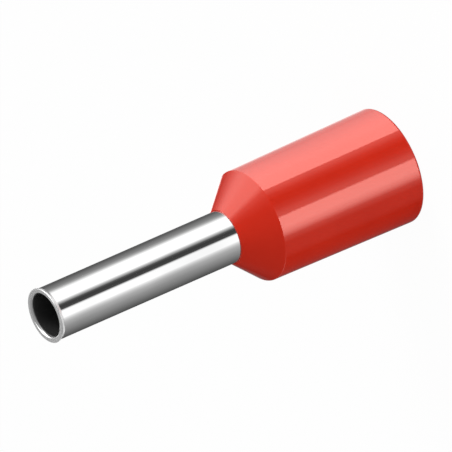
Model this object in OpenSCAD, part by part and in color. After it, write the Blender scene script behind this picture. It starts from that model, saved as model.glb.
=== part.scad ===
// Wire ferrule with an insulating collar, for fine-stranded wire of 1.0 square millimetre.
// It stands on the collar's mouth: the mouth's rim is at z = 0 and the barrel's tip is at the top.
// Each piece is one section turned round the Z axis, so in a section x is the radius and y the height.

/* [Contact barrel] */

// Inside diameter of the barrel, where the stripped strands go
strand_bore_d = 1.4; // [1.3:0.05:1.6]
// Wall of the tinned copper tube
barrel_wall = 0.15; // [0.12:0.01:0.18]
// Length of the barrel that stands out of the collar
pin_len = 6.8; // [5:0.1:12]
// How far the lip at the tip stands out past the barrel
lip_flare = 0.04; // [0.02:0.01:0.08]
// Angle at which the lip leans out
lip_angle = 25; // [10:1:30]
// Radius of the bend into the lip, on its outside
lip_bend_r = 0.1; // [0.05:0.05:0.5]
// Rounding of the lip's outer edge and of the funnel's rim
cut_edge_round = 0.03; // [0.02:0.005:0.055]
// Rounding of the bore's edge at the tip
bore_edge_round = 0.06; // [0.03:0.005:0.08]

/* [Funnel inside the collar] */

// Angle between the funnel's wall and the barrel's axis
funnel_angle = 40; // [32:1:48]
// Radius of the bend into the funnel, on its outside
funnel_bend_r = 0.3; // [0.15:0.05:0.5]
// How much the barrel's radius grows along the part that the collar grips
grip_taper = 0.02; // [0.01:0.005:0.05]

/* [Insulating collar] */

// Length of the collar from its mouth to its nose
collar_len = 6.2; // [5.6:0.1:9]
// Inside diameter of the collar, where the insulated wire goes
wire_bore_d = 3; // [2.8:0.1:3.6]
// Wall of the skirt at the shoulder
skirt_wall = 0.3; // [0.25:0.05:0.5]
// How much the skirt's outer radius grows from the shoulder to the mouth
skirt_draft = 0.07; // [0.02:0.01:0.12]
// Length of the cone between the shoulder and the nose
nose_len = 1; // [0.7:0.1:1.4]
// Width of the flat ring that the nose leaves around the barrel
nose_edge = 0.03; // [0.02:0.01:0.1]
// Length of the barrel that the collar grips behind the nose
grip_len = 1.5; // [1.2:0.1:2]

/* [Collar edges] */

// Rounding of the shoulder
shoulder_round = 0.04; // [0.02:0.02:0.3]
// Rounding of the mouth's outer edge
mouth_round = 0.08; // [0.04:0.01:0.12]
// Rounding of the mouth's inner edge, which leads the wire in
mouth_lead = 0.12; // [0.05:0.01:0.15]
// Rounding of the nose's edge around the barrel
nose_round = 0.02; // [0.01:0.005:0.03]

/* [Fits] */

// Gap between the barrel and the collar that is moulded on to it
fit_gap = 0.01; // [0.005:0.005:0.03]
// Gap between the funnel's rim and the bore for the insulated wire
rim_gap = 0.05; // [0.03:0.01:0.1]

/* [Hidden] */

$fn = 96;
// Greatest turn between two points of a rounded corner, in degrees
arc_step = 15;

strand_bore_r = strand_bore_d / 2;
barrel_r = strand_bore_r + barrel_wall;
total_len = collar_len + pin_len;

wire_bore_r = wire_bore_d / 2;
shoulder_r = wire_bore_r + skirt_wall;
shoulder_z = collar_len - nose_len;
mouth_r = shoulder_r + skirt_draft;
nose_r = barrel_r + nose_edge;

// The funnel opens from the end of the gripped part until its rim nearly meets the wire bore
bend = [barrel_r + grip_taper, collar_len - grip_len];
rim_r = wire_bore_r - rim_gap;
rim = [rim_r, bend.y - (rim_r - bend.x) / tan(funnel_angle)];

// The lip's corner lies a little past the flare, so that its rounding just reaches the flare
lip_r = barrel_r + lip_flare + cut_edge_round * (tan(lip_angle) + 1 / cos(lip_angle) - 1);
lip_corner = [lip_r, total_len];
lip = [barrel_r, total_len - (lip_r - barrel_r) / tan(lip_angle)];

// The barrel's outer face from the funnel's rim up to the tip
barrel_face = [
    rim,
    bend,
    [barrel_r, collar_len],
    lip,
    lip_corner
];

function unit(v) = v / norm(v);

// Normal of a path's nth stretch, on the left of its direction
function left_of(path, n) = let (d = unit(path[n + 1] - path[n])) [-d.y, d.x];

// The path moved sideways by w, to its left, with its corners mitred
function shifted(path, w) = [
    for (i = [0 : len(path) - 1])
        let (a = left_of(path, max(i - 1, 0)), b = left_of(path, min(i, len(path) - 2)))
            path[i] + w * (a + b) / (1 + a * b)
];

// A direction swung anticlockwise by an angle
function swung(v, angle) = [v.x * cos(angle) - v.y * sin(angle), v.x * sin(angle) + v.y * cos(angle)];

// Points of the arc that rounds one corner, or the corner itself where it stays sharp.
// A rounding takes at most half of the shorter side next to it.
function corner_arc(before, corner, after, rounding) =
    let (u = unit(before - corner), v = unit(after - corner), half = acos(u * v) / 2)
    let (room = min(norm(before - corner), norm(after - corner)) / 2)
    let (r = min(rounding, room * tan(half)))
    let (centre = corner + unit(u + v) * r / sin(half))
    let (first = corner + u * r / tan(half) - centre)
    let (turn = sign(cross(-u, v)) * (180 - 2 * half), steps = ceil(abs(turn) / arc_step))
        r == 0 ? [corner] : [for (i = [0 : steps]) centre + swung(first, turn * i / steps)];

// Turns a closed section round the Z axis, with each of its corners rounded
module turned(corners, roundings) {
    last = len(corners) - 1;
    rotate_extrude() polygon([
        for (i = [0 : last])
            each corner_arc(corners[i == 0 ? last : i - 1], corners[i],
                corners[i == last ? 0 : i + 1], roundings[i])
    ]);
}

module barrel() {
    // The tip is cut square, so the bore's face ends level with the lip's corner
    bore_corner = [lip_r - barrel_wall / cos(lip_angle), total_len];
    back_face = shifted(barrel_face, barrel_wall);
    color("silver") turned(
        concat(barrel_face, [bore_corner], [for (i = [3 : -1 : 0]) back_face[i]]),
        [
            cut_edge_round, funnel_bend_r, 0, lip_bend_r, cut_edge_round,
            bore_edge_round, lip_bend_r + barrel_wall, 0, funnel_bend_r + barrel_wall, cut_edge_round
        ]
    );
}

module collar() {
    // The collar follows the barrel's face down from the nose, and goes on along the funnel's slope
    seat = shifted(barrel_face, -fit_gap);
    seat_bend = seat[1];
    slope_end = [wire_bore_r, seat_bend.y - (wire_bore_r - seat_bend.x) / tan(funnel_angle)];
    color("red") turned(
        [
            [wire_bore_r, 0], [mouth_r, 0], [shoulder_r, shoulder_z],
            [nose_r, collar_len], [barrel_r + fit_gap, collar_len], seat_bend, slope_end
        ],
        [mouth_lead, mouth_round, shoulder_round, nose_round, 0, funnel_bend_r - fit_gap, 0]
    );
}

barrel();
collar();
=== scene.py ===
import math

import bpy
import numpy as np
from mathutils import Matrix


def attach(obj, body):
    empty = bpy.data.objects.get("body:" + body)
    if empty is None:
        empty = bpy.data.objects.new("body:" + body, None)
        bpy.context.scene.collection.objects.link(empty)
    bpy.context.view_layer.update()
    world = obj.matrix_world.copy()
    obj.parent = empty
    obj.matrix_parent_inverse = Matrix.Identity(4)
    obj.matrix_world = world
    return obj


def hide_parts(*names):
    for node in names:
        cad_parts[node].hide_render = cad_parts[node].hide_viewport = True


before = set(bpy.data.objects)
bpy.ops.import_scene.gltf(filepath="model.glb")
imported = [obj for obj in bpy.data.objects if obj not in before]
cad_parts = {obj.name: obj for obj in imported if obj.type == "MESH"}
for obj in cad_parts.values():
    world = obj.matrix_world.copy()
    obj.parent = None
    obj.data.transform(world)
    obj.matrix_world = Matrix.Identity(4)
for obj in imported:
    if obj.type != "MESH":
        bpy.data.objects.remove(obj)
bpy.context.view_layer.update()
print("frame loaded")

scene = bpy.context.scene
scene.view_settings.view_transform = "Standard"
mm = 0.001  # the sizes below are in millimetres and the meshes in metres


def newObject(name, points, faces):
    # a mesh object at the origin, with its points given in millimetres
    mesh = bpy.data.meshes.new(name)
    mesh.from_pydata((points * mm).tolist(), [], faces)
    piece = bpy.data.objects.new(name, mesh)
    scene.collection.objects.link(piece)
    return piece


def unit(v):
    return v / np.linalg.norm(v)


sections = {
    "turnStep": 7.5,     # greatest turn between two points of a rounding, in degrees
    "fewestSteps": 4,    # in a rounding
    "longestStep": 0.6,  # between two points of a straight run
    "mostHold": 0.25,    # share of a run that the holding piece at one end may take
}


def cornerArc(before, corner, after, radius):
    # the corner's rounding: a circle of that radius that touches both sides, as points on the arc between;
    # it takes at most half of the shorter side
    if radius == 0:
        return corner[None, :]
    u, v = unit(before - corner), unit(after - corner)
    half = math.acos(u @ v) / 2
    room = min(np.linalg.norm(before - corner), np.linalg.norm(after - corner)) / 2
    radius = min(radius, room * math.tan(half))
    centre = corner + unit(u + v) * radius / math.sin(half)
    first = corner + u * radius / math.tan(half) - centre
    turn = np.sign(u[1] * v[0] - u[0] * v[1]) * (math.pi - 2 * half)
    steps = max(sections["fewestSteps"], math.ceil(abs(turn) / math.radians(sections["turnStep"])))
    a = np.linspace(0, turn, steps + 1)
    return centre + np.stack([first[0] * np.cos(a) - first[1] * np.sin(a),
                              first[0] * np.sin(a) + first[1] * np.cos(a)], axis=1)


def shiftedPath(path, w):
    # each corner moves sideways, to the path's left, by w times the mitre of its two sides' normals
    d = np.diff(path, axis=0)
    n = np.stack([-d[:, 1], d[:, 0]], axis=1) / np.linalg.norm(d, axis=1)[:, None]
    a, b = np.vstack([n[:1], n]), np.vstack([n, n[-1:]])
    return path + w * (a + b) / (1 + (a * b).sum(axis=1))[:, None]


def closedOutline(corners, roundings, holdLength):
    # arcs at the corners, and on each straight run between them a short holding piece at both ends
    # and evenly spaced points between, so that shading stays flat along the run
    count = len(corners)
    arcs = [cornerArc(corners[i - 1], corners[i], corners[(i + 1) % count], roundings[i])
            for i in range(count)]
    runs = []
    for arc, following in zip(arcs, arcs[1:] + arcs[:1]):
        start, end = arc[-1], following[0]
        length = np.linalg.norm(end - start)
        inner = np.linspace(0, 1, max(2, math.ceil(length / sections["longestStep"]) + 1))
        hold = min(holdLength / length, sections["mostHold"])
        t = hold + inner * (1 - 2 * hold)
        runs += [arc, start + t[:, None] * (end - start)]
    return np.concatenate(runs)


def revolvedPiece(name, outline, segments, marks):
    # a closed section turned about Z: point (r, z) at angle a goes to (r cos a, r sin a, z)
    count = len(outline)
    a = np.linspace(0, 2 * math.pi, segments, endpoint=False)
    r, z = outline[:, 0], outline[:, 1]
    points = np.stack([np.outer(np.cos(a), r), np.outer(np.sin(a), r), np.tile(z, (segments, 1))], axis=2)
    i, j = np.meshgrid(np.arange(segments), np.arange(count), indexing="ij")
    i2, j2 = (i + 1) % segments, (j + 1) % count
    quads = np.stack([i * count + j, i2 * count + j, i2 * count + j2, i * count + j2], axis=2)
    piece = newObject(name, points.reshape(-1, 3), quads.reshape(-1, 4).tolist())
    mesh = piece.data
    mesh.polygons.foreach_set("use_smooth", np.ones(len(mesh.polygons), bool))

    # the piece's own map: u goes round once, v is the distance along the section in millimetres
    lengths = np.linalg.norm(np.diff(outline, axis=0, append=outline[:1]), axis=1)
    run = np.concatenate([[0], np.cumsum(lengths)])
    uv = np.stack([np.stack([i, i + 1, i + 1, i], axis=2) / segments,
                   np.stack([run[j], run[j], run[j + 1], run[j + 1]], axis=2)], axis=3)
    mesh.uv_layers.new(name="UVMap").data.foreach_set("uv", uv.reshape(-1))
    for mark, values in marks.items():
        around = np.broadcast_to(values, (segments, count)).astype(np.float32).reshape(-1)
        mesh.attributes.new(mark, "FLOAT", "POINT").data.foreach_set("value", around)
    return piece


def smoothStep(x, start, end):
    t = np.clip((x - start) / (end - start), 0, 1)
    return t * t * (3 - 2 * t)


def newMaterial(name):
    material = bpy.data.materials.new(name)
    material.use_nodes = True
    tree = material.node_tree
    tree.nodes.clear()
    return material, tree


def addNode(tree, kind, **settings):
    node = tree.nodes.new(kind)
    for key, value in settings.items():
        setattr(node, key, value)
    return node


def noiseOn(tree, stretch, scale, detail):
    # noise on the object's own coordinates, stretched by a Mapping node; scale is its cycles a metre
    place = addNode(tree, "ShaderNodeTexCoord")
    mapping = addNode(tree, "ShaderNodeMapping")
    mapping.inputs["Scale"].default_value = stretch
    noise = addNode(tree, "ShaderNodeTexNoise")
    noise.inputs["Scale"].default_value = scale
    noise.inputs["Detail"].default_value = detail
    tree.links.new(place.outputs["Object"], mapping.inputs["Vector"])
    tree.links.new(mapping.outputs["Vector"], noise.inputs["Vector"])
    return noise.outputs["Fac"]


def rampOf(tree, source, stops):
    ramp = addNode(tree, "ShaderNodeValToRGB")
    for element, (position, colour) in zip(ramp.color_ramp.elements, stops):
        element.position = position
        element.color = (*colour, 1)
    tree.links.new(source, ramp.inputs["Fac"])
    return ramp.outputs["Color"]


def mixOf(tree, share, first, second):
    # from the first colour, which is a socket, to the second, which is a plain tone
    mix = addNode(tree, "ShaderNodeMix", data_type="RGBA")
    tree.links.new(share, mix.inputs["Factor"])
    sockets = [socket for socket in mix.inputs if socket.type == "RGBA"]
    tree.links.new(first, sockets[0])
    sockets[1].default_value = (*second, 1)
    return [socket for socket in mix.outputs if socket.type == "RGBA"][0]


noiseLow, noiseHigh = 0.3, 0.7  # most values of a noise lie between these


def rangeOf(tree, source, low, high):
    spread = addNode(tree, "ShaderNodeMapRange")
    spread.inputs["From Min"].default_value = noiseLow
    spread.inputs["From Max"].default_value = noiseHigh
    spread.inputs["To Min"].default_value = low
    spread.inputs["To Max"].default_value = high
    tree.links.new(source, spread.inputs["Value"])
    return spread.outputs["Result"]


def bumpFrom(tree, source, strength, distance):
    bump = addNode(tree, "ShaderNodeBump")
    bump.inputs["Strength"].default_value = strength
    bump.inputs["Distance"].default_value = distance
    tree.links.new(source, bump.inputs["Height"])
    return bump.outputs["Normal"]


def finishMaterial(tree, shader):
    out = addNode(tree, "ShaderNodeOutputMaterial")
    tree.links.new(shader, out.inputs["Surface"])


tin = {
    "pale": (0.87, 0.87, 0.87),
    "dull": (0.78, 0.78, 0.78),
    "dullUpTo": 0.35,   # values of the patches' noise between which dull turns pale
    "paleFrom": 0.6,
    "patches": {"stretch": (1, 1, 0.5), "scale": 700, "detail": 3},
    # painted shade: the near-black colour the bore takes deep inside, standing for the shade there
    "paintedBoreShade": (0.03, 0.03, 0.03),
    "roughLow": 0.04,
    "roughHigh": 0.08,
    "lipRough": 0.32,   # added where the lip was worked
    "drawLines": {"stretch": (1, 1, 0.02), "scale": 2500, "detail": 4},
    "lineStrength": 0.5,
    "lineDepth": 0.0000006,  # metres
}


def tinFinish():
    # bright tin: fine lines along the draw direction change the roughness, broad patches change the tone,
    # and the bore is painted dark as shade deeper in, where it also loses its metal
    material, tree = newMaterial("tinPlate")
    lines = noiseOn(tree, **tin["drawLines"])
    patches = noiseOn(tree, **tin["patches"])
    tone = rampOf(tree, patches, [(tin["dullUpTo"], tin["dull"]), (tin["paleFrom"], tin["pale"])])

    shader = addNode(tree, "ShaderNodeBsdfPrincipled")
    # inside carries the painted shade of the bore
    inside = addNode(tree, "ShaderNodeAttribute", attribute_name="inside").outputs["Fac"]
    tree.links.new(mixOf(tree, inside, tone, tin["paintedBoreShade"]), shader.inputs["Base Color"])
    # where the painted shade is, the bore also loses its metal, so that it renders near black
    plated = addNode(tree, "ShaderNodeMath", operation="SUBTRACT")
    plated.inputs[0].default_value = 1
    tree.links.new(inside, plated.inputs[1])
    tree.links.new(plated.outputs[0], shader.inputs["Metallic"])
    worked = addNode(tree, "ShaderNodeAttribute", attribute_name="cutLip")
    rough = addNode(tree, "ShaderNodeMath", operation="MULTIPLY_ADD")
    rough.inputs[1].default_value = tin["lipRough"]
    tree.links.new(worked.outputs["Fac"], rough.inputs[0])
    tree.links.new(rangeOf(tree, lines, tin["roughLow"], tin["roughHigh"]), rough.inputs[2])
    tree.links.new(rough.outputs[0], shader.inputs["Roughness"])
    tree.links.new(bumpFrom(tree, lines, tin["lineStrength"], tin["lineDepth"]), shader.inputs["Normal"])
    finishMaterial(tree, shader.outputs["BSDF"])
    return material


plastic = {
    "light": (0.615, 0.027, 0.0118),
    "deep": (0.58, 0.024, 0.0105),
    "deepUpTo": 0.35,   # values of the clouds' noise between which deep turns light
    "lightFrom": 0.65,
    "clouds": {"stretch": (1, 1, 1), "scale": 500, "detail": 3},
    "roughLow": 0.035,
    "roughHigh": 0.06,
    "grain": {"stretch": (1, 1, 1), "scale": 9000, "detail": 2},
    "grainStrength": 0.4,
    "grainDepth": 0.0000012,  # metres
    "refraction": 1.5,
    "shine": 1.0,
    "shineTint": (1.0, 0.5, 0.44),
    "scatter": 0.08,    # share of light that scatters inside the plastic
    "scatterTint": (1, 0.2, 0.1),
    "scatterReach": 0.0003,  # metres
}


def plasticFinish():
    # smooth moulded polypropylene: cloudy tone, a fine grain from the mould, and a soft gloss
    material, tree = newMaterial("redPolypropylene")
    clouds = noiseOn(tree, **plastic["clouds"])
    grain = noiseOn(tree, **plastic["grain"])
    tone = rampOf(tree, clouds, [(plastic["deepUpTo"], plastic["deep"]),
                                 (plastic["lightFrom"], plastic["light"])])

    shader = addNode(tree, "ShaderNodeBsdfPrincipled")
    shader.inputs["IOR"].default_value = plastic["refraction"]
    shader.inputs["Specular IOR Level"].default_value = plastic["shine"]
    shader.inputs["Specular Tint"].default_value = (*plastic["shineTint"], 1)
    shader.inputs["Subsurface Weight"].default_value = plastic["scatter"]
    shader.inputs["Subsurface Radius"].default_value = plastic["scatterTint"]
    shader.inputs["Subsurface Scale"].default_value = plastic["scatterReach"]
    tree.links.new(tone, shader.inputs["Base Color"])
    rough = rangeOf(tree, grain, plastic["roughLow"], plastic["roughHigh"])
    tree.links.new(rough, shader.inputs["Roughness"])
    bump = bumpFrom(tree, grain, plastic["grainStrength"], plastic["grainDepth"])
    tree.links.new(bump, shader.inputs["Normal"])
    finishMaterial(tree, shader.outputs["BSDF"])
    return material


barrel = {
    "boreRadius": 0.7,
    "wall": 0.15,
    "pinLength": 6.8,       # from the collar's nose to the tip
    "lipFlare": 0.04,
    "lipAngle": 25,
    "lipBend": 0.1,
    "cutEdge": 0.03,
    "boreEdge": 0.06,
    "funnelAngle": 40,
    "funnelBend": 0.3,
    "gripTaper": 0.02,
    "gripLength": 1.5,
    "rimGap": 0.05,
    "segments": 192,
    "hold": 0.008,          # length of the holding pieces beside the roundings
    "paintedShadeFrom": 0.02,       # depth below the tip at which the painted shade in the bore begins
    "shadeDeeperBy": 0.035,   # how much deeper the painted shade begins on one side, so that a mirrored highlight stays there inside the lip
    "platedSide": 140,      # angle of that side from +X
    "shadeDeeperNarrow": 4,      # and how narrow that side is
    "darkening": 0.05,      # over how much depth the painted shade comes in
    "lipDull": (0.1, 0.16),    # depths between which the dull finish of the worked lip ends
}

collar = {
    "length": 6.2,
    "boreRadius": 1.5,
    "skirtWall": 0.3,
    "skirtDraft": 0.07,
    "noseLength": 1.0,
    "noseEdge": 0.03,
    "fitGap": 0.001,  # moulded on to the barrel, so that no gap shows
    "shoulderRound": 0.04,
    "mouthRound": 0.08,
    "mouthLead": 0.12,
    "noseRound": 0.02,
    "segments": 256,
    "hold": 0.01,
}


def barrelFace():
    # the barrel's outer face from the funnel's rim up to the tip
    angle = math.radians(barrel["lipAngle"])
    radius = barrel["boreRadius"] + barrel["wall"]
    tip = collar["length"] + barrel["pinLength"]
    # the lip's corner lies a little past the flare, so that its rounding just reaches the flare
    past = barrel["cutEdge"] * (math.tan(angle) + 1 / math.cos(angle) - 1)
    lipRadius = radius + barrel["lipFlare"] + past
    lip = [radius, tip - (lipRadius - radius) / math.tan(angle)]
    bend = [radius + barrel["gripTaper"], collar["length"] - barrel["gripLength"]]
    rimRadius = collar["boreRadius"] - barrel["rimGap"]
    rim = [rimRadius, bend[1] - (rimRadius - bend[0]) / math.tan(math.radians(barrel["funnelAngle"]))]
    return np.array([rim, bend, [radius, collar["length"]], lip, [lipRadius, tip]])


def makeBarrel():
    # the outer face, then the same path moved inwards by the wall and followed back
    face = barrelFace()
    wall, edge, boreEdge = barrel["wall"], barrel["cutEdge"], barrel["boreEdge"]
    # the tip is cut square, so the bore's face ends level with the lip's corner
    boreCorner = face[-1] - [wall / math.cos(math.radians(barrel["lipAngle"])), 0]
    back = shiftedPath(face, wall)[-2::-1]
    roundings = [edge, barrel["funnelBend"], 0, barrel["lipBend"], edge,
                 boreEdge, barrel["lipBend"] + wall, 0, barrel["funnelBend"] + wall, edge]
    outline = closedOutline(np.vstack([face, boreCorner, back]), roundings, barrel["hold"])

    depth = collar["length"] + barrel["pinLength"] - outline[:, 1]
    inBore = outline[:, 0] < barrel["boreRadius"] + wall / 2
    # the painted shade starts deeper towards one side, by a power of (1 + cos(a - side)) / 2, so that a
    # highlight inside the lip is not covered
    a = np.linspace(0, 2 * math.pi, barrel["segments"], endpoint=False)
    away = a - math.radians(barrel["platedSide"])
    plated = ((1 + np.cos(away)) / 2)[:, None] ** barrel["shadeDeeperNarrow"]
    start = barrel["paintedShadeFrom"] + barrel["shadeDeeperBy"] * plated
    # inside is the painted shade of the bore, darker with depth; cutLip is where the worked lip is rougher
    marks = {"inside": np.where(inBore, smoothStep(depth, start, start + barrel["darkening"]), 0),
             "cutLip": np.where(inBore, 0, 1 - smoothStep(depth, *barrel["lipDull"]))}
    return revolvedPiece("contactBarrel", outline, barrel["segments"], marks)


def makeCollar():
    # the skirt and the cone outside, and inside the seat that follows the barrel and opens into the wire bore
    seat = shiftedPath(barrelFace(), -collar["fitGap"])[1]
    nose = barrel["boreRadius"] + barrel["wall"]
    shoulder = collar["boreRadius"] + collar["skirtWall"]
    slope = math.tan(math.radians(barrel["funnelAngle"]))
    corners = np.array([
        [collar["boreRadius"], 0],
        [shoulder + collar["skirtDraft"], 0],
        [shoulder, collar["length"] - collar["noseLength"]],
        [nose + collar["noseEdge"], collar["length"]],
        [nose + collar["fitGap"], collar["length"]],
        seat,
        [collar["boreRadius"], seat[1] - (collar["boreRadius"] - seat[0]) / slope],
    ])
    roundings = [collar["mouthLead"], collar["mouthRound"], collar["shoulderRound"], collar["noseRound"],
                 0, barrel["funnelBend"] - collar["fitGap"], 0]
    outline = closedOutline(corners, roundings, collar["hold"])
    return revolvedPiece("insulatingCollar", outline, collar["segments"], {})


barrelPiece = makeBarrel()
barrelPiece.data.materials.append(tinFinish())
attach(barrelPiece, "root")
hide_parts("barrel")

collarPiece = makeCollar()
collarPiece.data.materials.append(plasticFinish())
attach(collarPiece, "root")
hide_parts("collar")
print("barrel and collar made")


tents = {
    "radius": 200,
    "between": 10,      # from the barrel's tent in to the collar's
    "middle": 6.5,      # height of the tents' centre
    "stepsRound": 720,
    "stepsUp": 120,
    # brightness round the object: (angle from the front, positive towards +X; level)
    "rings": {
        # for the collar: what it mirrors seen from high above
        "under": [(-180, 0.3), (-157, 0.25), (-100, 0.4), (-40, 0.5), (100, 0.5), (157, 0.4), (180, 0.35)],
        # what the skirt mirrors, plainly, with strips towards the back, and in level views
        "skirt": [(-180, 0.5), (-172, 0.25), (-162, 0.1), (-97, 0), (-83, 0.15), (-60, 0.2), (-49, 0.8),
                  (-39, 3.6), (-29, 5.1), (-9, 4.9), (-6, 1.3), (0, 1.0), (9, 0.37), (19, 0.05), (29, 0),
                  (39, 0.3), (49, 1.15), (52.5, 1.3), (54.5, 4.7), (83, 3.9), (111, 2.2), (132, 1.1),
                  (149, 0.8), (165, 1.1), (180, 1.4)],
        "skirtRound": [(-180, 0.3), (-165, 0.1), (-150, 0.1), (-138, 0.9), (-112, 0.9), (-98, 0.2),
                       (-60, 0.2), (-49, 0.8), (-39, 3), (-29, 4), (-9, 4), (-5, 1.2), (9, 0.37), (19, 0.1),
                       (29, 0.1), (39, 0.3), (52, 1.15), (56, 3.6), (83, 3.4), (111, 1.8), (125, 0.6),
                       (139, 0.3), (150, 2.4), (172, 2.4), (180, 0.3)],
        "skirtLevel": [(-180, 0.3), (-164, 0.15), (-154, 0.03), (-125, 0.1), (-112, 0.8), (-85, 0.8),
                       (-72, 0.3), (-60, 0.2), (-49, 0.8), (-39, 3), (-29, 4), (-9, 4), (-5, 1.2),
                       (9, 0.37), (19, 0.1), (29, 0.1), (39, 0.3), (52, 1.15), (56, 3.6), (83, 3.4),
                       (111, 2.2), (125, 1.3), (141, 0.45), (152, 0.12), (157, 0.1), (166, 0.8), (180, 1)],
        # and what the cone mirrors
        "cone": [(-180, 0.05), (-120, 0.05), (0, 0.05), (26, 0.06), (46, 0.34), (62, 0.9), (75, 2.8),
                 (110, 2.65), (120, 2.1), (130, 1.2), (141, 0.45), (152, 0.12), (168, 0.03), (180, 0.05)],
        # for the barrel: what the lip's underside mirrors, the tube, the tube with strips towards the back,
        # and the rim
        "underLip": [(-180, 0.9), (180, 0.9)],
        "barrel": [(-180, 0.1), (-153, 0.08), (-123, 0.16), (-107, 0.22), (-82, 0.33), (-61, 0.48),
                   (-51, 0.65), (-43, 0.9), (-37, 1.2), (-10.5, 1.2), (-9, 1.0), (-5.5, 0.5), (-3.5, 0.07),
                   (10, 0.05), (17.5, 0.1), (27, 0.6), (35, 1.3), (78, 1.3), (86, 0.9), (94, 0.5),
                   (106, 0.28), (121, 0.2), (140, 0.12), (180, 0.1)],
        "barrelRound": [(-180, 0.3), (-168, 0.12), (-152, 0.12), (-140, 1.0), (-112, 1.1), (-100, 0.35),
                        (-80, 0.33), (-61, 0.48), (-51, 0.65), (-43, 0.9), (-37, 1.2), (-11, 1.2), (-8, 0.5),
                        (-4, 0.07), (10, 0.05), (17.5, 0.1), (27, 0.6), (35, 1.3), (78, 1.3), (86, 0.9),
                        (94, 0.5), (106, 0.28), (128, 0.15), (142, 0.3), (150, 1.0), (170, 1.0), (180, 0.3)],
        "tip": [(-180, 0.42), (-150, 0.4), (-120, 0.33), (0, 0.33), (25, 0.36), (45, 0.5), (61, 1.0),
                (75, 3.1), (109, 2.9), (119, 2.3), (129, 1.2), (140, 0.5), (152, 0.42), (180, 0.42)],
    },
    # rows upwards: (elevation, ring)
    "collar": [(-90, "under"), (-36, "under"), (-32, "skirt"), (-23, "skirt"), (-19, "skirtRound"),
               (-13.5, "skirtRound"), (-11, "skirtLevel"), (8, "skirtLevel"), (15, "cone"), (90, "cone")],
    "barrel": [(-90, "underLip"), (-66, "underLip"), (-58, "barrelRound"), (-37, "barrelRound"),
               (-33, "barrel"), (-23.5, "barrel"), (-19, "barrelRound"), (5, "barrelRound"), (12, "tip"),
               (90, "tip")],
}


def makeTent(target, rows, radius, seeThrough):
    # a sphere of soft light that only one piece mirrors. The point at angle a and elevation e is
    # radius (sin a cos e, -cos a cos e, sin e), and its level is read round each row's ring and blends
    # between the rows by straight steps
    a = np.linspace(-180, 180, tents["stepsRound"] + 1)
    e = np.linspace(-90, 90, tents["stepsUp"] + 1)
    levels = np.stack([np.interp(a, *np.array(tents["rings"][ring]).T) for elevation, ring in rows])
    place = np.interp(e, [row[0] for row in rows], np.arange(len(rows)))
    low = np.minimum(place.astype(int), len(rows) - 2)
    share = (place - low)[:, None]
    light = levels[low] * (1 - share) + levels[low + 1] * share

    turn, rise = np.radians(a)[None, :], np.radians(e)[:, None]
    points = radius * np.stack([np.sin(turn) * np.cos(rise), -np.cos(turn) * np.cos(rise),
                                np.sin(rise) + 0 * turn], axis=2)
    points[:, :, 2] += tents["middle"]
    count = len(a)
    i, j = np.meshgrid(np.arange(len(e) - 1), np.arange(count - 1), indexing="ij")
    first = i * count + j
    quads = np.stack([first, first + 1, first + count + 1, first + count], axis=2)
    piece = newObject("tentOf" + target.name, points.reshape(-1, 3), quads.reshape(-1, 4).tolist())
    glow = piece.data.attributes.new("glow", "FLOAT", "POINT")
    glow.data.foreach_set("value", light.reshape(-1).astype(np.float32))

    material, tree = newMaterial("tentLight")
    material.cycles.emission_sampling = "NONE"
    read = addNode(tree, "ShaderNodeAttribute", attribute_name="glow")
    emission = addNode(tree, "ShaderNodeEmission")
    tree.links.new(read.outputs["Fac"], emission.inputs["Strength"])
    shader = emission.outputs["Emission"]
    if seeThrough:
        both = addNode(tree, "ShaderNodeAddShader")
        tree.links.new(shader, both.inputs[0])
        tree.links.new(addNode(tree, "ShaderNodeBsdfTransparent").outputs["BSDF"], both.inputs[1])
        shader = both.outputs["Shader"]
    finishMaterial(tree, shader)
    piece.data.materials.append(material)

    piece.visible_camera = False
    piece.visible_diffuse = False
    piece.visible_shadow = False
    piece.visible_transmission = False
    mirrors = bpy.data.collections.new("mirrorsOf" + piece.name)
    mirrors.objects.link(target)
    piece.light_linking.receiver_collection = mirrors


floor = {
    "half": 400,
    "tone": 0.9,
    "ownWhite": 0.965,  # share of plain white that the camera sees in the floor
    "clear": 0.01,      # between the inner floor and the mouth, and its height above the floor
    "innerSides": 64,
}


def diffuseFloor(tree):
    diffuse = addNode(tree, "ShaderNodeBsdfDiffuse")
    diffuse.inputs["Color"].default_value = (floor["tone"],) * 3 + (1,)
    return diffuse.outputs["BSDF"]


def makeFloor():
    # a square at z = 0 that takes the object's shadow and is nearly white to the camera
    h = floor["half"]
    piece = newObject("floor", np.array([(-h, -h, 0), (h, -h, 0), (h, h, 0), (-h, h, 0)]), [(0, 1, 2, 3)])
    material, tree = newMaterial("paleFloor")
    path = addNode(tree, "ShaderNodeLightPath")
    white = addNode(tree, "ShaderNodeEmission")
    mixed = addNode(tree, "ShaderNodeMixShader")
    share = addNode(tree, "ShaderNodeMath", operation="MULTIPLY")
    share.inputs[1].default_value = floor["ownWhite"]
    tree.links.new(path.outputs["Is Camera Ray"], share.inputs[0])
    tree.links.new(share.outputs[0], mixed.inputs["Fac"])
    tree.links.new(diffuseFloor(tree), mixed.inputs[1])
    tree.links.new(white.outputs["Emission"], mixed.inputs[2])
    finishMaterial(tree, mixed.outputs["Shader"])
    piece.data.materials.append(material)
    piece.visible_glossy = False


def makeInnerFloor():
    # the round of floor that the mouth closes off, which no light reaches, so that the bore is dark:
    # its edge is (r cos a, r sin a)
    a = np.linspace(0, 2 * math.pi, floor["innerSides"], endpoint=False)
    r = collar["boreRadius"] - floor["clear"]
    points = np.stack([r * np.cos(a), r * np.sin(a), np.full(len(a), floor["clear"])], axis=1)
    piece = newObject("innerFloor", points, [tuple(range(len(a)))])
    material, tree = newMaterial("shadedFloor")
    finishMaterial(tree, diffuseFloor(tree))
    piece.data.materials.append(material)


sky = {"fill": 0.56}


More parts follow.
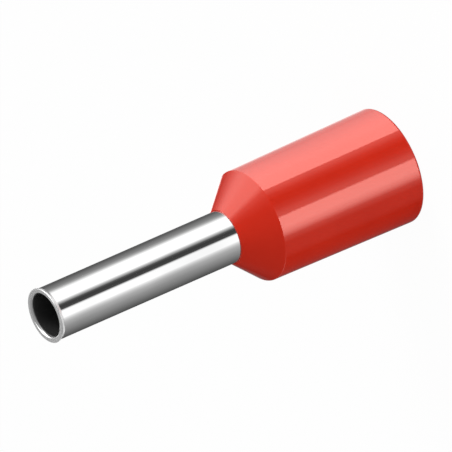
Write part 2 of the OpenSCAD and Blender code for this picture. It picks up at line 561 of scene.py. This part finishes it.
def makeSky():
    # white to the camera, and an even fill for the surfaces
    world = bpy.data.worlds.new("studio")
    world.use_nodes = True
    tree = world.node_tree
    tree.nodes.clear()
    path = addNode(tree, "ShaderNodeLightPath")
    fill = addNode(tree, "ShaderNodeBackground")
    white = addNode(tree, "ShaderNodeBackground")
    for background, strength in ((fill, sky["fill"]), (white, 1)):
        background.inputs["Color"].default_value = (1, 1, 1, 1)
        background.inputs["Strength"].default_value = strength
    both = addNode(tree, "ShaderNodeMixShader")
    tree.links.new(path.outputs["Is Camera Ray"], both.inputs["Fac"])
    tree.links.new(fill.outputs["Background"], both.inputs[1])
    tree.links.new(white.outputs["Background"], both.inputs[2])
    out = addNode(tree, "ShaderNodeOutputWorld")
    tree.links.new(both.outputs["Shader"], out.inputs["Surface"])
    scene.world = world


lamps = {
    "key": {"place": (110, -30, 62), "size": 60, "power": 0.1},
    "fill": {"place": (-60, -95, 18), "size": 50, "power": 0.031},
}
lampAim = (0, 0, 5)  # the point that the lamps face


def makeLamps():
    for name, lamp in lamps.items():
        data = bpy.data.lights.new(name, "AREA")
        data.shape = "DISK"
        data.size = lamp["size"] * mm
        data.energy = lamp["power"]
        piece = bpy.data.objects.new(name, data)
        scene.collection.objects.link(piece)
        place = np.array(lamp["place"]) * mm
        piece.location = place
        back = unit(place - np.array(lampAim) * mm)
        side = unit(np.cross([0, 0, 1], back))
        aim = Matrix(np.stack([side, np.cross(back, side), back], axis=1).tolist())
        piece.rotation_mode = "QUATERNION"
        piece.rotation_quaternion = aim.to_quaternion()
        piece.visible_glossy = False


makeTent(collarPiece, tents["collar"], tents["radius"] - tents["between"], True)
makeTent(barrelPiece, tents["barrel"], tents["radius"], False)
makeFloor()
makeInnerFloor()
makeSky()
makeLamps()
print("surroundings made")


view = {
    "elevation": 28.5,
    "roll": -113.69,
    "width": 13.78,       # millimetres across the picture
    "tipRight": -5.52,    # where the tip's centre stands from the picture's middle
    "tipUp": -2.74,
    "distance": 120,
    "nearest": 1,         # that the camera sees
    "farthest": 2000,
}


def makeCamera():
    e, roll = math.radians(view["elevation"]), math.radians(view["roll"])
    level = np.array([1, 0, 0])
    upright = np.array([0, math.sin(e), math.cos(e)])
    back = np.array([0, -math.cos(e), math.sin(e)])
    right = math.cos(roll) * level + math.sin(roll) * upright
    up = -math.sin(roll) * level + math.cos(roll) * upright
    tip = np.array([0, 0, collar["length"] + barrel["pinLength"]])
    middle = tip - view["tipRight"] * right - view["tipUp"] * up
    data = bpy.data.cameras.new("camera")
    data.type = "ORTHO"
    data.ortho_scale = view["width"] * mm
    data.clip_start = view["nearest"] * mm
    data.clip_end = view["farthest"] * mm
    camera = bpy.data.objects.new("camera", data)
    scene.collection.objects.link(camera)
    camera.location = (middle + back * view["distance"]) * mm
    camera.rotation_mode = "QUATERNION"
    camera.rotation_quaternion = Matrix(np.stack([right, up, back], axis=1).tolist()).to_quaternion()
    scene.camera = camera


makeCamera()
print("camera set")
